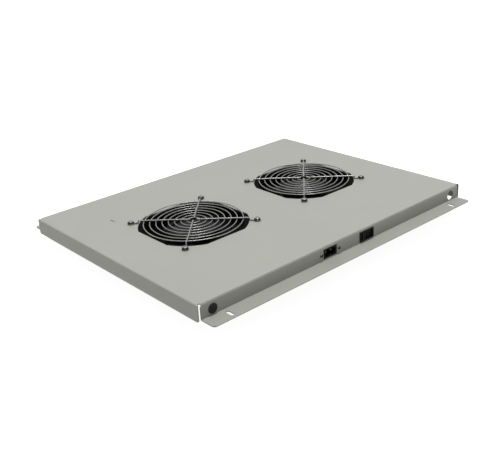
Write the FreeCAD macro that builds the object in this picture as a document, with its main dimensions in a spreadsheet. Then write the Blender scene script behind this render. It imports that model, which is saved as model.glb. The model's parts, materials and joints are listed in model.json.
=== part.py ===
"""Fan tray for the roof of a rack cabinet: a folded sheet-metal pan that carries two
120 mm axial fans under wire finger guards, a mains inlet and a rocker switch.

X runs along the flanged sides, the connectors face -Y, Z is up and the origin lies
under the middle of the tray, at the height of the fans' lower faces.
"""
import FreeCAD, Part
import math
import os
import Sketcher
from FreeCAD import Vector

# ---------------------------------------------------------------- driving dimensions (mm)

SIZES = {
    # folded pan
    "sheet_thickness": 1.2,
    "pan_length": 417.2,
    "pan_width": 312.6,
    "pan_height": 17.6,
    "end_wall_height": 18.8,
    "flange_reach": 18.9,
    "flange_corner_radius": 4.0,
    "corner_gap": 2.2,
    "end_wall_setback": 0.5,
    "end_wall_chamfer": 1.5,
    "corner_relief_radius": 1.6,
    "bend_radius": 0.5,
    "slot_inset": 30.2,
    "slot_reach": 10.0,
    "slot_length": 10.4,
    "slot_width": 4.4,
    "cable_hole_inset": 17.7,
    "cable_hole_drop": 9.7,
    "cable_hole_radius": 6.0,
    "tie_slit_out": 61.8,
    "tie_slit_along": 77.6,
    "tie_slit_length": 9.6,
    "tie_slit_width": 1.6,
    # fan openings in the pan
    "fan_pitch": 182.4,
    "fan_offset_x": 2.4,
    "fan_offset_y": 2.4,
    "opening_radius": 65.0,
    "opening_flat": 59.0,
    # fan frame
    "fan_side": 119.6,
    "fan_depth": 38.0,
    "fan_corner_radius": 5.0,
    "fan_hole_pitch": 105.0,
    "fan_hole_radius": 2.15,
    "fan_flange": 5.0,
    "bore_radius": 57.6,
    "barrel_wall": 1.6,
    "bore_flare": 1.4,
    "bore_flare_depth": 7.0,
    # motor bracket
    "arm_width": 8.0,
    "arm_thickness": 2.5,
    "arm_end": 4.0,
    "arm_rib_width": 2.0,
    "arm_rib_height": 2.0,
    "arm_rib_end": 2.0,
    "arm_fit": 0.1,
    "rivet_radius": 1.6,
    "rivet_head_radius": 2.8,
    "rivet_crown_radius": 1.7,
    "rivet_head_height": 0.9,
    "rivet_clearance": 0.4,
    "base_radius": 31.0,
    "base_thickness": 2.5,
    "base_rim_height": 6.0,
    "base_rim_wall": 1.6,
    "tube_radius": 8.0,
    "tube_top": 25.0,
    "terminal_boss_width": 14.0,
    "terminal_boss_height": 11.0,
    "terminal_boss_reach": 6.0,
    # motor
    "shaft_radius": 2.0,
    "shaft_clearance": 0.03,
    "shaft_foot": 1.4,
    "bearing_radius": 6.5,
    "bearing_height": 4.0,
    "bearing_shoulder": 1.0,
    "lower_bearing_foot": 2.5,
    "upper_bearing_foot": 20.5,
    "cap_thickness": 0.9,
    "clip_thickness": 0.4,
    "clip_radius": 3.6,
    "clip_depth": 0.4,
    "clip_mouth": 2.0,
    "axial_play": 0.2,
    "core_foot": 10.0,
    "core_height": 12.0,
    "core_slot_radius": 6.0,
    "core_slot_circle": 18.0,
    "core_slot_mouth": 3.0,
    "core_slots": 4,
    "air_gap": 0.4,
    "winding_inner": 9.5,
    "winding_outer": 24.0,
    "winding_height": 3.2,
    "rotor_radius": 30.0,
    "rotor_wall": 1.5,
    "rotor_corner": 1.2,
    "rotor_foot": 8.0,
    "rotor_top": 33.0,
    "rotor_boss_radius": 3.2,
    "hub_wall": 2.0,
    "hub_foot": 7.0,
    "hub_lip": 3.0,
    "hub_lip_height": 1.5,
    # blades
    "blade_count": 7,
    "blade_tip_gap": 1.1,
    "blade_thickness": 1.6,
    "blade_camber": 3.0,
    "blade_root_x": 24.0,
    "blade_root_half_chord": 9.5,
    "blade_root_foot": 9.0,
    "blade_root_rise": 22.0,
    "blade_tip_x": 60.0,
    "blade_tip_half_chord": 20.0,
    "blade_tip_foot": 12.0,
    "blade_tip_rise": 15.0,
    "blade_sweep": 7.0,
    # finger guard
    "ring_wire_radius": 0.6,
    "ring_count": 8,
    "ring_inner": 7.8,
    "ring_pitch": 7.2,
    "ring_lift": 3.0,
    "spoke_wire_radius": 0.8,
    "spoke_weld": 0.2,
    "spoke_bend_radius": 64.6,
    "spoke_bend_run": 1.4,
    "eyelet_radius": 3.3,
    # fasteners
    "fan_screw_radius": 2.0,
    "fan_screw_head_radius": 3.7,
    "fan_screw_head_height": 2.4,
    "fan_screw_head_round": 1.6,
    "fan_screw_length": 12.5,
    "fan_nut_flats": 7.0,
    "fan_nut_height": 3.2,
    "screw_clearance": 0.25,
    "drive_depth": 1.2,
    "drive_length": 3.6,
    "drive_width": 0.9,
    # mains inlet
    "inlet_x": -27.9,
    "connector_drop": 9.0,
    "inlet_window_width": 21.0,
    "window_height": 11.4,
    "inlet_fit": 0.15,
    "inlet_depth": 18.0,
    "inlet_flange_width": 35.0,
    "inlet_flange_height": 12.8,
    "inlet_flange_thickness": 2.0,
    "socket_radius": 4.1,
    "socket_pitch": 8.6,
    "socket_depth": 12.0,
    "socket_waist": 3.2,
    "pin_radius": 1.2,
    "pin_length": 9.0,
    "tab_width": 2.8,
    "tab_thickness": 0.6,
    "tab_length": 8.0,
    "inlet_screw_pitch": 27.4,
    "inlet_screw_radius": 1.5,
    "inlet_screw_head_radius": 2.0,
    "inlet_screw_head_height": 1.4,
    "inlet_screw_head_round": 0.9,
    "inlet_screw_length": 7.0,
    "inlet_nut_flats": 5.5,
    "inlet_nut_height": 2.2,
    # rocker switch
    "switch_x": 31.3,
    "switch_window_width": 21.0,
    "switch_window_height": 10.2,
    "switch_fit": 0.1,
    "bezel_width": 22.8,
    "bezel_height": 11.5,
    "bezel_thickness": 1.2,
    "switch_depth": 15.0,
    "switch_wall": 0.8,
    "switch_clip": 0.8,
    "switch_clip_length": 4.0,
    "switch_clip_height": 4.0,
    "switch_tab_pitch": 10.5,
    "switch_tab_width": 4.5,
    "rocker_cavity_depth": 8.6,
    "rocker_end_radius": 9.1,
    "rocker_gap": 0.3,
    "rocker_tilt": 8.0,
    "rocker_rise": 3.7,
    "rocker_dip": 1.3,
    "rocker_skirt": 2.2,
    "rocker_keel": 3.4,
    "pivot_drop": 4.0,
    "pivot_radius": 1.2,
    "pivot_clearance": 0.05,
    "pivot_reach": 0.6,
    # blanking plug
    "plug_hole_radius": 4.8,
    "plug_head_radius": 5.4,
    "plug_head_height": 1.3,
    "plug_head_chamfer": 0.8,
    "plug_skin": 0.3,
    "plug_fit": 0.1,
    "plug_wall": 1.2,
    "plug_lip": 0.5,
    "plug_length": 5.0,
}

doc = FreeCAD.newDocument("rack_fan_tray")
sheet = doc.addObject("Spreadsheet::Sheet", "sizes")
for row, (alias, number) in enumerate(SIZES.items(), 1):
    sheet.set(f"A{row}", alias)
    sheet.set(f"B{row}", str(number))
    sheet.setAlias(f"B{row}", alias)
doc.recompute()

# ---------------------------------------------------------------- expressions shared by pieces


def size(text):
    """Expression with every sheet alias in it written in full."""
    words = []
    word = ""
    for letter in text + " ":
        if letter.isalnum() or letter == "_":
            word += letter
            continue
        words.append(f"sizes.{word}" if word in SIZES else word)
        words.append(letter)
        word = ""
    return "(" + "".join(words).strip() + ")"


def value(expression):
    """Present number of an expression."""
    result = sheet.evalExpression(expression)
    return float(getattr(result, "Value", result))


PLATE_TOP = "(fan_depth + sheet_thickness)"
WALL_FACE = "(pan_width / 2)"
WALL_BACK = "(pan_width / 2 - sheet_thickness)"
FLANGE_FOOT = f"({PLATE_TOP} - pan_height)"
END_WALL_FOOT = f"({PLATE_TOP} - end_wall_height)"
HAT_HALF = "(pan_length / 2 - sheet_thickness - corner_gap)"
CONNECTOR_Z = f"({PLATE_TOP} - connector_drop)"
CABLE_HOLE_X = "(pan_length / 2 - cable_hole_inset)"
CABLE_HOLE_Z = f"({PLATE_TOP} - cable_hole_drop)"
FAN_X = {
    "left": "(fan_offset_x - fan_pitch / 2)",
    "right": "(fan_offset_x + fan_pitch / 2)",
}
FAN_Y = "fan_offset_y"
HOLE = "(fan_hole_pitch / 2)"
HOLE_CIRCLE = f"(sqrt(2) * {HOLE})"
BARREL_RADIUS = "(bore_radius + barrel_wall)"
RIVET_CIRCLE = f"(({BARREL_RADIUS} + {HOLE_CIRCLE}) / 2)"
ARM_REACH = f"({RIVET_CIRCLE} + arm_end)"
HUB_RADIUS = "(rotor_radius + hub_wall)"
BOSS_FOOT = "(fan_flange + rivet_head_height + rivet_clearance)"
BLADE_TIP = "(bore_radius - blade_tip_gap)"
SPOKE_PLANE = "(ring_lift + ring_wire_radius + spoke_wire_radius - spoke_weld)"

# ---------------------------------------------------------------- modelling helpers


def new_body(label, place=("0", "0", "0"), turn=0.0):
    """Empty body with its own label, placed by three expressions and turned about Z."""
    body = doc.addObject("PartDesign::Body", label)
    body.Label = label
    body.Placement = FreeCAD.Placement(Vector(0, 0, 0), FreeCAD.Rotation(Vector(0, 0, 1), turn))
    for axis, expression in zip("xyz", place):
        body.setExpression(f"Placement.Base.{axis}", size(expression))
    return body


def datum(body, role):
    """Origin plane or axis of a body."""
    return [item for item in body.Origin.OriginFeatures if item.Role == role][0]


def new_sketch(body, name, plane="XY_Plane", lift="0"):
    """Sketch on one of the body's own planes, lifted along the plane's normal."""
    sketch = body.newObject("Sketcher::SketchObject", f"{body.Name}_{name}")
    sketch.AttachmentSupport = [(datum(body, plane), "")]
    sketch.MapMode = "FlatFace"
    sketch.setExpression("AttachmentOffset.Base.z", size(lift))
    return sketch


def bind(sketch, constraint, expression):
    """Add a constraint whose value is an expression of the sheet."""
    index = sketch.addConstraint(Sketcher.Constraint(*constraint, value(size(expression))))
    sketch.setExpression(f"Constraints[{index}]", size(expression))


def pin(sketch, geometry, point, x, y):
    """Hold a point of the sketch at (x, y)."""
    bind(sketch, ("DistanceX", -1, 1, geometry, point), x)
    bind(sketch, ("DistanceY", -1, 1, geometry, point), y)


def circle(sketch, x, y, radius):
    """Circle held by its centre and radius."""
    centre = Vector(value(size(x)), value(size(y)), 0)
    shape = Part.Circle(centre, Vector(0, 0, 1), value(size(radius)))
    geometry = sketch.addGeometry(shape)
    pin(sketch, geometry, 3, x, y)
    bind(sketch, ("Radius", geometry), radius)


def arc_between(start, end, centre):
    """Arc about a centre and whether it runs from start to end counter-clockwise."""
    radius = (start - centre).Length
    angle_start = math.atan2(start.y - centre.y, start.x - centre.x)
    angle_end = math.atan2(end.y - centre.y, end.x - centre.x)
    forward = (angle_end - angle_start) % (2 * math.pi) <= math.pi + 1e-6
    round_line = Part.Circle(centre, Vector(0, 0, 1), radius)
    if forward:
        return Part.ArcOfCircle(round_line, angle_start, angle_end), True
    return Part.ArcOfCircle(round_line, angle_end, angle_start), False


def outline(sketch, points, arcs=None):
    """Closed outline through points. arcs maps the number of a side to its arc's centre."""
    arcs = arcs or {}
    spots = [Vector(value(size(x)), value(size(y)), 0) for x, y in points]
    ends = []
    for side, start in enumerate(spots):
        end = spots[(side + 1) % len(spots)]
        if side not in arcs:
            geometry = sketch.addGeometry(Part.LineSegment(start, end))
            ends.append((geometry, 1, 2))
            continue
        centre_x, centre_y = arcs[side]
        centre = Vector(value(size(centre_x)), value(size(centre_y)), 0)
        shape, forward = arc_between(start, end, centre)
        geometry = sketch.addGeometry(shape)
        ends.append((geometry, 1, 2) if forward else (geometry, 2, 1))
        chord = end - start
        if abs(chord.y) > abs(chord.x):
            bind(sketch, ("DistanceX", -1, 1, geometry, 3), centre_x)
        else:
            bind(sketch, ("DistanceY", -1, 1, geometry, 3), centre_y)
    for side, (geometry, first, last) in enumerate(ends):
        following = ends[(side + 1) % len(ends)]
        joint = Sketcher.Constraint("Coincident", geometry, last, following[0], following[1])
        sketch.addConstraint(joint)
        pin(sketch, geometry, first, *points[side])


def rectangle(sketch, x, y, width, height):
    """Rectangle about a centre."""
    left = f"({x} - ({width}) / 2)"
    right = f"({x} + ({width}) / 2)"
    low = f"({y} - ({height}) / 2)"
    high = f"({y} + ({height}) / 2)"
    outline(sketch, [(left, low), (right, low), (right, high), (left, high)])


def pad(body, sketch, length, midplane=False, reverse=False):
    """Pad of a sketch."""
    feature = body.newObject("PartDesign::Pad", f"{sketch.Name}_pad")
    feature.Profile = sketch
    feature.setExpression("Length", size(length))
    feature.Midplane = midplane
    feature.Reversed = reverse
    return feature


def pocket(body, sketch, length=None, reverse=False, midplane=False):
    """Pocket of a sketch, right through when no length is given; checks that it cuts."""
    doc.recompute()
    before = body.Shape.Volume
    feature = body.newObject("PartDesign::Pocket", f"{sketch.Name}_pocket")
    feature.Profile = sketch
    feature.Reversed = reverse
    feature.Midplane = midplane
    if length is None:
        feature.Type = "ThroughAll"
    else:
        feature.setExpression("Length", size(length))
    doc.recompute()
    if body.Shape.Volume > before - 1e-3:
        raise RuntimeError(f"{feature.Name} cuts nothing")
    return feature


def turned(body, sketch, kind="PartDesign::Revolution"):
    """Revolution or groove of a sketch about the body's Z axis."""
    feature = body.newObject(kind, f"{sketch.Name}_turned")
    feature.Profile = sketch
    feature.ReferenceAxis = (datum(body, "Z_Axis"), [""])
    feature.Angle = 360
    return feature


def around(body, features, count):
    """Copies of features spaced evenly about the body's Z axis."""
    pattern = body.newObject("PartDesign::PolarPattern", f"{features[0].Name}_around")
    pattern.Originals = features
    pattern.Axis = (datum(body, "Z_Axis"), [""])
    pattern.Angle = 360
    pattern.setExpression("Occurrences", size(count))
    body.Tip = pattern
    return pattern


def edges_where(body, test):
    """Names of the straight edges of a body's shape whose ends pass a test."""
    doc.recompute()
    names = []
    for number, edge in enumerate(body.Tip.Shape.Edges, 1):
        if edge.Curve.TypeId != "Part::GeomLine":
            continue
        start, end = [vertex.Point for vertex in edge.Vertexes]
        if test(start, end):
            names.append(f"Edge{number}")
    return names


def round_edges(body, radius, height):
    """Names of the whole round edges of a body's shape with a radius, at a height."""
    doc.recompute()
    names = []
    for number, edge in enumerate(body.Tip.Shape.Edges, 1):
        curve = edge.Curve
        if curve.TypeId != "Part::GeomCircle":
            continue
        if near(curve.Radius, value(size(radius))) and near(curve.Center.z, value(size(height))):
            names.append(f"Edge{number}")
    return names


def dress(body, kind, names, amount):
    """Fillet or chamfer on named edges of the body's tip."""
    base = body.Tip
    feature = body.newObject(kind, f"{body.Name}_dress")
    feature.Base = (base, names)
    key = "Radius" if kind == "PartDesign::Fillet" else "Size"
    feature.setExpression(key, size(amount))
    doc.recompute()
    return feature


def near(first, second):
    """Whether two lengths agree."""
    return abs(first - second) < 1e-4


def four_corners(half_x, half_y):
    """The four sign combinations of two half distances, as expressions."""
    signs = ((-1, -1), (1, -1), (1, 1), (-1, 1))
    return [(f"({a} * {half_x})", f"({b} * {half_y})") for a, b in signs]


# ---------------------------------------------------------------- folded pan


def heading(start, end):
    """Signs of the step from one point to another along X and Y."""
    steps = [value(size(last)) - value(size(first)) for first, last in zip(start, end)]
    return [0 if near(step, 0) else int(math.copysign(1, step)) for step in steps]


def folded(points, radii):
    """Square-cornered outline with some corners rounded: radii maps a corner to its radius."""
    bent = []
    arcs = {}
    for number, (x, y) in enumerate(points):
        if number not in radii:
            bent.append((x, y))
            continue
        radius = radii[number]
        into = heading((x, y), points[number - 1])
        out = heading((x, y), points[(number + 1) % len(points)])
        arcs[len(bent)] = (
            f"({x} + {into[0] + out[0]} * ({radius}))", f"({y} + {into[1] + out[1]} * ({radius}))")
        for step in (into, out):
            bent.append((f"({x} + {step[0]} * ({radius}))", f"({y} + {step[1]} * ({radius}))"))
    return bent, arcs


def make_pan():
    """Top plate, two walls with outward flanges, two end walls and all their cut-outs."""
    body = new_body("tray_pan")
    top = PLATE_TOP
    under = f"({PLATE_TOP} - sheet_thickness)"
    foot = FLANGE_FOOT
    end_foot = END_WALL_FOOT
    ledge = f"({FLANGE_FOOT} + sheet_thickness)"
    tip = f"({WALL_FACE} + flange_reach)"

    outer_bend = "bend_radius + sheet_thickness"
    inner_bend = "bend_radius"
    hat = new_sketch(body, "hat", "YZ_Plane")
    right = [
        (WALL_BACK, under), (WALL_BACK, foot), (tip, foot),
        (tip, ledge), (WALL_FACE, ledge), (WALL_FACE, top),
    ]
    left = [(f"(-1 * {y})", z) for y, z in reversed(right)]
    folds = {0: inner_bend, 1: outer_bend, 4: inner_bend, 5: outer_bend}
    folds.update({11 - corner: bend for corner, bend in folds.items()})
    outline(hat, *folded(right + left, folds))
    pad(body, hat, f"2 * {HAT_HALF}", midplane=True)

    half = "(pan_length / 2)"
    inner = "(pan_length / 2 - sheet_thickness)"
    ends = new_sketch(body, "ends", "XZ_Plane")
    right = [(inner, under), (inner, end_foot), (half, end_foot), (half, top)]
    left = [(f"(-1 * {x})", z) for x, z in reversed(right)]
    folds = {0: inner_bend, 3: outer_bend, 4: outer_bend, 7: inner_bend}
    outline(ends, *folded(right + left, folds))
    pad(body, ends, f"2 * ({WALL_FACE} - end_wall_setback)", midplane=True)

    end_x = value(size(half))
    inner_x = value(size(inner))
    foot_z = value(size(end_foot))
    tip_y = value(size(tip))

    def on_end_wall_corner(start, end):
        low = near(start.z, foot_z) and near(end.z, foot_z)
        across = near(start.y, end.y) and abs(start.y) > 1
        return low and across and {round(abs(start.x), 3), round(abs(end.x), 3)} == {
            round(end_x, 3), round(inner_x, 3)}

    dress(body, "PartDesign::Chamfer", edges_where(body, on_end_wall_corner), "end_wall_chamfer")

    def on_flange_corner(start, end):
        return near(abs(start.y), tip_y) and near(start.x, end.x) and near(start.y, end.y)

    corners = edges_where(body, on_flange_corner)
    dress(body, "PartDesign::Fillet", corners, "flange_corner_radius")

    relief = new_sketch(body, "corner_reliefs", "XY_Plane", f"{top}")
    centre_x = f"({HAT_HALF} + corner_gap / 4)"
    centre_y = f"({WALL_FACE} - bend_radius - sheet_thickness / 2)"
    for x, y in four_corners(centre_x, centre_y):
        circle(relief, x, y, "corner_relief_radius")
    pocket(body, relief, "2 * corner_relief_radius")

    openings = new_sketch(body, "fan_openings")
    for side in FAN_X:
        fan_opening(openings, FAN_X[side], FAN_Y)
        for x, y in four_corners(HOLE, HOLE):
            hole_radius = "fan_screw_radius + screw_clearance"
            circle(openings, f"{FAN_X[side]} + {x}", f"{FAN_Y} + {y}", hole_radius)
    slit_x = f"{FAN_X['left']} - tie_slit_out"
    slit_y = f"{FAN_Y} + tie_slit_along"
    rectangle(openings, slit_x, slit_y, "tie_slit_width", "tie_slit_length")
    pocket(body, openings, reverse=True)

    slots = new_sketch(body, "flange_slots")
    for x, y in four_corners("(pan_length / 2 - slot_inset)", f"({WALL_FACE} + slot_reach)"):
        slot(slots, x, y, "slot_length", "slot_width")
    pocket(body, slots, reverse=True)

    front = new_sketch(body, "front_wall_holes", "XZ_Plane")
    circle(front, CABLE_HOLE_X, CABLE_HOLE_Z, "cable_hole_radius")
    circle(front, f"(-1 * {CABLE_HOLE_X})", CABLE_HOLE_Z, "plug_hole_radius")
    for sign in (-1, 1):
        screw_x = f"(inlet_x + {sign} * inlet_screw_pitch / 2)"
        circle(front, screw_x, CONNECTOR_Z, "inlet_screw_radius + screw_clearance")
    rectangle(front, "inlet_x", CONNECTOR_Z, "inlet_window_width", "window_height")
    rectangle(front, "switch_x", CONNECTOR_Z, "switch_window_width", "switch_window_height")
    pocket(body, front, reverse=True)
    return body


def fan_opening(sketch, x, y):
    """Round opening with four flats about a fan's centre."""
    half = "sqrt(opening_radius ^ 2 - opening_flat ^ 2)"
    near_flat = [("opening_flat", f"-{half}"), ("opening_flat", half)]
    steps = []
    for quarter in range(4):
        for along, across in near_flat:
            turned_pair = {
                0: (along, across), 1: (f"-1 * ({across})", along),
                2: (f"-1 * ({along})", f"-1 * ({across})"), 3: (across, f"-1 * ({along})"),
            }[quarter]
            steps.append((f"({x} + ({turned_pair[0]}))", f"({y} + ({turned_pair[1]}))"))
    outline(sketch, steps, {side: (x, y) for side in (1, 3, 5, 7)})


def slot(sketch, x, y, length, width):
    """Slot with round ends that runs along Y."""
    reach = f"(({length} - {width}) / 2)"
    side = f"({width} / 2)"
    points = [
        (f"({x} + {side})", f"({y} - {reach})"), (f"({x} + {side})", f"({y} + {reach})"),
        (f"({x} - {side})", f"({y} + {reach})"), (f"({x} - {side})", f"({y} - {reach})"),
    ]
    outline(sketch, points, {1: (x, f"({y} + {reach})"), 3: (x, f"({y} - {reach})")})


# ---------------------------------------------------------------- fan frame and motor


def make_fan_frame(side):
    """Square moulded frame: two corner flanges, barrel, terminal boss and arm seats."""
    body = new_body(f"fan_frame_{side}", (FAN_X[side], FAN_Y, "0"))
    square = new_sketch(body, "square")
    rectangle(square, "0", "0", "fan_side", "fan_side")
    pad(body, square, "fan_depth")
    half = value(size("fan_side / 2"))

    def upright_corner(start, end):
        upright = near(start.x, end.x) and near(start.y, end.y)
        return upright and near(abs(start.x), half) and near(abs(start.y), half)

    corners = edges_where(body, upright_corner)
    dress(body, "PartDesign::Fillet", corners, "fan_corner_radius")

    recess = new_sketch(body, "corner_recess", lift="fan_flange")
    rectangle(recess, "0", "0", "2 * fan_side", "2 * fan_side")
    circle(recess, "0", "0", BARREL_RADIUS)
    pocket(body, recess, "fan_depth - 2 * fan_flange", reverse=True)

    boss = new_sketch(body, "terminal_boss", lift=BOSS_FOOT)
    boss_inner = "(bore_radius + barrel_wall / 2)"
    boss_outer = f"({BARREL_RADIUS} + terminal_boss_reach)"
    outline(boss, [tilted(along, across) for along, across in (
        (boss_inner, "(-terminal_boss_width / 2)"), (boss_outer, "(-terminal_boss_width / 2)"),
        (boss_outer, "(terminal_boss_width / 2)"), (boss_inner, "(terminal_boss_width / 2)"),
    )])
    pad(body, boss, "terminal_boss_height")

    bore = new_sketch(body, "bore")
    circle(bore, "0", "0", "bore_radius")
    for x, y in four_corners(HOLE, HOLE):
        circle(bore, x, y, "fan_hole_radius")
    pocket(body, bore, reverse=True)

    flare = new_sketch(body, "flare", "XZ_Plane")
    wide = "(bore_radius + bore_flare)"
    clear = "(bore_radius - bore_flare)"
    for face, throat, beyond in (
        ("fan_depth", "fan_depth - bore_flare_depth", "fan_depth + bore_flare"),
        ("0", "bore_flare_depth", "-bore_flare"),
    ):
        outline(flare, [
            (clear, beyond), (clear, throat), ("bore_radius", throat), (wide, face), (wide, beyond),
        ])
    turned(body, flare, "PartDesign::Groove")

    seats = new_sketch(body, "arm_seat")
    across = "(arm_width / 2 + arm_fit)"
    end = f"{ARM_REACH} + arm_fit"
    outline(seats, [tilted(*spot) for spot in (
        ("base_radius", f"-{across}"), (end, f"-{across}"), (end, across), ("base_radius", across),
    )])
    around(body, [pocket(body, seats, "arm_thickness", reverse=True)], "4")
    holes = new_sketch(body, "rivet_hole")
    circle(holes, *tilted(RIVET_CIRCLE, "0"), "rivet_radius")
    around(body, [pocket(body, holes, "fan_flange", reverse=True)], "4")
    return body


def make_motor_bracket(side):
    """Motor bracket: rimmed base disc, bearing tube and four ribbed arms to the frame."""
    body = new_body(f"motor_bracket_{side}", (FAN_X[side], FAN_Y, "0"))
    base = new_sketch(body, "base", "XZ_Plane")
    rim_inner = "base_radius - base_rim_wall"
    seat = "bearing_radius"
    neck = "bearing_radius - bearing_shoulder"
    lower_top = "lower_bearing_foot + bearing_height"
    outline(base, [
        (seat, "0"), ("base_radius", "0"), ("base_radius", "base_rim_height"),
        (rim_inner, "base_rim_height"), (rim_inner, "base_thickness"),
        ("tube_radius", "base_thickness"), ("tube_radius", "tube_top"), (seat, "tube_top"),
        (seat, "upper_bearing_foot"), (neck, "upper_bearing_foot"), (neck, lower_top),
        (seat, lower_top),
    ])
    turned(body, base)
    arm = new_sketch(body, "arm")
    inner = "base_radius - base_rim_wall / 2"
    outline(arm, [tilted(*spot) for spot in (
        (inner, "(-arm_width / 2)"), (ARM_REACH, "(-arm_width / 2)"),
        (ARM_REACH, "(arm_width / 2)"), (inner, "(arm_width / 2)"),
    )])
    circle(arm, *tilted(RIVET_CIRCLE, "0"), "rivet_radius")
    flat = pad(body, arm, "arm_thickness")
    rib = new_sketch(body, "arm_rib", lift="arm_thickness")
    tip = "bore_radius - arm_rib_end"
    outline(rib, [tilted(*spot) for spot in (
        (inner, "(-arm_rib_width / 2)"), (tip, "(-arm_rib_width / 2)"),
        (tip, "(arm_rib_width / 2)"), (inner, "(arm_rib_width / 2)"),
    )])
    around(body, [flat, pad(body, rib, "arm_rib_height")], "4")
    return body


def make_bracket_rivets(side):
    """Four rivets that hold the bracket's arms in the frame's lower flange."""
    body = new_body(f"bracket_rivets_{side}", (FAN_X[side], FAN_Y, "0"), 45.0)
    profile = new_sketch(body, "profile", "XZ_Plane")
    centre = RIVET_CIRCLE
    crown = "fan_flange + rivet_head_height"
    outline(profile, [
        (centre, "0"), (f"{centre} + rivet_radius", "0"),
        (f"{centre} + rivet_radius", "fan_flange"),
        (f"{centre} + rivet_head_radius", "fan_flange"),
        (f"{centre} + rivet_crown_radius", crown), (centre, crown),
    ])
    axis = profile.addGeometry(Part.LineSegment(Vector(0, 0, 0), Vector(0, 1, 0)), True)
    pin(profile, axis, 1, centre, "0")
    pin(profile, axis, 2, centre, crown)
    rivet = body.newObject("PartDesign::Revolution", f"{body.Name}_rivet")
    rivet.Profile = profile
    rivet.ReferenceAxis = (profile, ["Axis0"])
    rivet.Angle = 360
    around(body, [rivet], "4")
    return body


def tilted(along, across):
    """Point given along and across the diagonal that runs to the corner at -X, +Y."""
    x = f"(-1 * (({along}) + ({across})) / sqrt(2))"
    y = f"((({along}) - ({across})) / sqrt(2))"
    return x, y


def make_terminals(side):
    """Two flat tabs in the frame's terminal boss."""
    body = new_body(f"fan_terminals_{side}", (FAN_X[side], FAN_Y, BOSS_FOOT))
    root = f"({BARREL_RADIUS} + terminal_boss_reach)"
    tabs = new_sketch(body, "tabs", lift="terminal_boss_height / 2 - tab_width / 2")
    for centre in ("(-terminal_boss_width / 4)", "(terminal_boss_width / 4)"):
        low = f"({centre} - tab_thickness / 2)"
        high = f"({centre} + tab_thickness / 2)"
        tip = f"({root} + tab_length)"
        spots = ((root, low), (tip, low), (tip, high), (root, high))
        outline(tabs, [tilted(*spot) for spot in spots])
    pad(body, tabs, "tab_width")
    return body


def make_bearings(side):
    """Lower and upper ball bearing, each as one ring."""
    body = new_body(f"ball_bearings_{side}", (FAN_X[side], FAN_Y, "0"))
    for name, foot in (("lower", "lower_bearing_foot"), ("upper", "upper_bearing_foot")):
        ring = new_sketch(body, f"{name}_ring", lift=foot)
        circle(ring, "0", "0", "bearing_radius")
        circle(ring, "0", "0", "shaft_radius + shaft_clearance")
        pad(body, ring, "bearing_height")
    return body


def make_bearing_cap(side):
    """Disc that closes the bearing tube's lower end."""
    body = new_body(f"bearing_cap_{side}", (FAN_X[side], FAN_Y, "0"))
    disc = new_sketch(body, "disc")
    circle(disc, "0", "0", "bearing_radius")
    pad(body, disc, "cap_thickness")
    return body


def make_core(side):
    """Stator core: a slotted stack of laminations on the bearing tube."""
    body = new_body(f"stator_core_{side}", (FAN_X[side], FAN_Y, "core_foot"))
    stack = new_sketch(body, "stack")
    circle(stack, "0", "0", "rotor_radius - rotor_wall - air_gap")
    circle(stack, "0", "0", "tube_radius")
    pad(body, stack, "core_height")
    slot_shape = new_sketch(body, "slot")
    mouth = "(core_slot_mouth / 2)"
    outer = "rotor_radius"
    meet = f"(core_slot_circle + sqrt(core_slot_radius ^ 2 - {mouth} ^ 2))"
    outline(slot_shape, [
        (meet, f"(-1 * {mouth})"), (outer, f"(-1 * {mouth})"), (outer, mouth), (meet, mouth),
        ("core_slot_circle", "core_slot_radius"), ("core_slot_circle", "(-core_slot_radius)"),
    ], {3: ("core_slot_circle", "0"), 4: ("core_slot_circle", "0"), 5: ("core_slot_circle", "0")})
    around(body, [pocket(body, slot_shape, reverse=True)], "core_slots")
    return body


def make_windings(side):
    """End windings above and below the stator core."""
    body = new_body(f"stator_windings_{side}", (FAN_X[side], FAN_Y, "core_foot"))
    for name, foot in (("lower", "(-winding_height)"), ("upper", "core_height")):
        ring = new_sketch(body, f"{name}_ring", lift=foot)
        circle(ring, "0", "0", "winding_outer")
        circle(ring, "0", "0", "winding_inner")
        pad(body, ring, "winding_height")
    return body


def make_shaft(side):
    """Rotor shaft with a groove for its clip."""
    body = new_body(f"rotor_shaft_{side}", (FAN_X[side], FAN_Y, "0"))
    profile = new_sketch(body, "profile", "XZ_Plane")
    crown = "rotor_top - rotor_wall"
    clip_foot = "(lower_bearing_foot - axial_play - clip_thickness)"
    clip_top = "(lower_bearing_foot - axial_play)"
    groove = "(shaft_radius - clip_depth)"
    outline(profile, [
        ("0", "shaft_foot"), ("shaft_radius", "shaft_foot"), ("shaft_radius", clip_foot),
        (groove, clip_foot), (groove, clip_top), ("shaft_radius", clip_top),
        ("shaft_radius", crown), ("0", crown),
    ])
    turned(body, profile)
    return body


def make_clip(side):
    """Open retaining clip in the shaft's groove."""
    foot = "lower_bearing_foot - axial_play - clip_thickness"
    body = new_body(f"shaft_clip_{side}", (FAN_X[side], FAN_Y, foot))
    ring = new_sketch(body, "ring")
    circle(ring, "0", "0", "clip_radius")
    circle(ring, "0", "0", "shaft_radius - clip_depth")
    pad(body, ring, "clip_thickness")
    mouth = new_sketch(body, "mouth")
    rectangle(mouth, "clip_radius", "0", "2 * clip_radius", "clip_mouth")
    pocket(body, mouth, reverse=True)
    return body


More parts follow.
